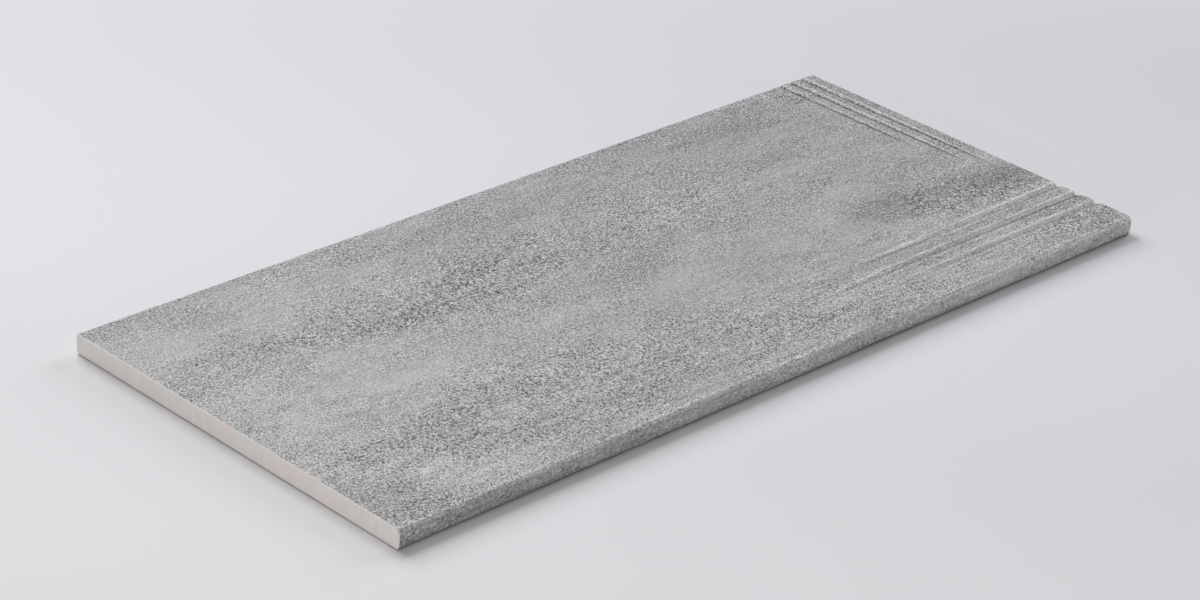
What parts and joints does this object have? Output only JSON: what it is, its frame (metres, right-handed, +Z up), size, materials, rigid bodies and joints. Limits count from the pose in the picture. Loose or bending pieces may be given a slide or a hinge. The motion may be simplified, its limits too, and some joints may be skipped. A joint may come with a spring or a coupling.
{
  "type": "stair nosing tile",
  "caption": "Glazed stoneware stair tile with a rounded nosing edge and shallow anti-slip grooves that run out along the nosing and beside one end",
  "frame": {"origin": "middle of the underside, on the bedding plane", "axes": "+X along the step towards the moulded, grooved end; +Y back from the nosing towards the riser above; +Z up, out of the walking surface"},
  "size_m": [0.675, 0.3, 0.014],
  "materials": {
    "glazed_stoneware": "matt, gritty grey glaze on the top and the moulded edges, bare buff body on the sawn end and the underside"
  },
  "bodies": {
    "root": {"stair_nosing_tile": "glazed_stoneware"}
  },
  "joints": []
}
